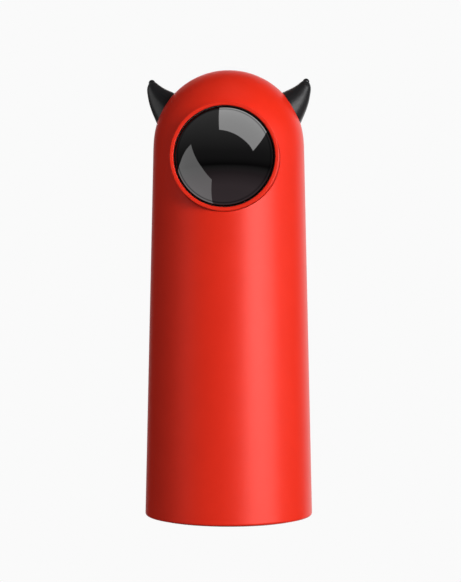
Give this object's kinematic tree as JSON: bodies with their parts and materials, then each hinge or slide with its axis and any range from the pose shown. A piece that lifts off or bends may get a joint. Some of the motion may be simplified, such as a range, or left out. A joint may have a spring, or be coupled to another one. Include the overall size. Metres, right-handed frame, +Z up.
{
  "type": "automatic cat laser toy",
  "caption": "Upright domed cat toy with a round smoked window, soft horns and a motor-driven laser that pans and tilts behind the window.",
  "frame": {"origin": "centre of the foot pad's lower face, on the shell's axis", "axes": "+Z up along the shell's axis, -Y the side of the round window"},
  "size_m": [0.075, 0.0811, 0.2004],
  "materials": {
    "red_plastic": "satin, finely textured",
    "smoked_window": "polished, smoked black",
    "black_silicone": "satin",
    "black_rubber": "matt",
    "black_plastic": "matt",
    "black_button": "satin",
    "grey_plastic": "moulded",
    "screw_steel": "zinc plated",
    "ballast_steel": "zinc plated",
    "shaft_steel": "ground",
    "contact_nickel": "nickel plated",
    "motor_can": "drawn can",
    "battery_wrap": "shrink sleeve",
    "circuit_board": "solder mask",
    "chip_black": "moulded",
    "plug_white": "moulded",
    "led_lens": "clear",
    "clear_plastic": "clear",
    "lead_insulation": "smooth",
    "pinion_brass": "turned",
    "bush_bronze": "sintered",
    "barrel_brass": "turned",
    "gear_white": "moulded",
    "laser_glass": "polished"
  },
  "bodies": {
    "housing": {"ballast_plate": "ballast_steel", "base_cover": "black_plastic", "base_screws": "screw_steel", "battery_cell": "battery_wrap", "battery_contacts": "contact_nickel", "battery_holder": "black_plastic", "battery_leads": "lead_insulation", "board_parts": "chip_black", "board_screws": "screw_steel", "charge_board": "circuit_board", "charge_lead": "lead_insulation", "charge_plug": "plug_white", "chassis": "grey_plastic", "chassis_screws": "screw_steel", "deck_screws": "screw_steel", "dome_window": "smoked_window", "foot_pad": "black_rubber", "horn_left": "black_silicone", "horn_right": "black_silicone", "light_pipe": "clear_plastic", "main_board": "circuit_board", "outer_shell": "red_plastic", "pan_bush": "bush_bronze", "pan_deck": "grey_plastic", "pan_motor": "motor_can", "pan_motor_lead": "lead_insulation", "pan_motor_screws": "screw_steel", "status_led": "led_lens", "tact_switch": "chip_black", "usb_socket": "contact_nickel", "window_bezel": "red_plastic", "window_gasket": "black_rubber"},
    "pan_stage": {"pan_wheel": "gear_white", "spindle_clip": "shaft_steel", "yoke": "grey_plastic", "yoke_screws": "screw_steel", "tilt_motor": "motor_can", "tilt_motor_screws": "screw_steel"},
    "pan_drive": {"pan_pinion": "pinion_brass", "pan_motor_shaft": "shaft_steel"},
    "tilt_stage": {"tilt_sector": "gear_white", "laser_cradle": "grey_plastic", "laser_barrel": "barrel_brass", "laser_lens": "laser_glass", "laser_board": "circuit_board"},
    "tilt_drive": {"tilt_pinion": "pinion_brass", "tilt_motor_shaft": "shaft_steel"},
    "button": {"power_button": "black_button"}
  },
  "joints": [
    {"name": "button_press", "type": "slide", "parent": "housing", "child": "button", "axis": [0, -1, 0], "range_m": [0, 0.0007], "stiffness_N_per_m": 1500},
    {"name": "pan", "type": "hinge", "parent": "housing", "child": "pan_stage", "pos_m": [0, -0.004, 0.125], "axis": [0, 0, 1], "range_deg": [-35, 35]},
    {"name": "pan_pinion_spin", "type": "hinge", "parent": "housing", "child": "pan_drive", "pos_m": [-0.013, -0.004, 0.125], "axis": [0, 0, 1], "range_deg": [-117, 117]},
    {"name": "tilt", "type": "hinge", "parent": "pan_stage", "child": "tilt_stage", "pos_m": [0, -0.004, 0.1583], "axis": [1, 0, 0], "range_deg": [-8, 30]},
    {"name": "tilt_pinion_spin", "type": "hinge", "parent": "pan_stage", "child": "tilt_drive", "pos_m": [0, -0.004, 0.1453], "axis": [1, 0, 0], "range_deg": [-101, 27]}
  ],
  "couplings": [
    {"joint": "pan_pinion_spin", "follows": "pan", "ratio": -3.3333},
    {"joint": "tilt_pinion_spin", "follows": "tilt", "ratio": -3.3333}
  ]
}
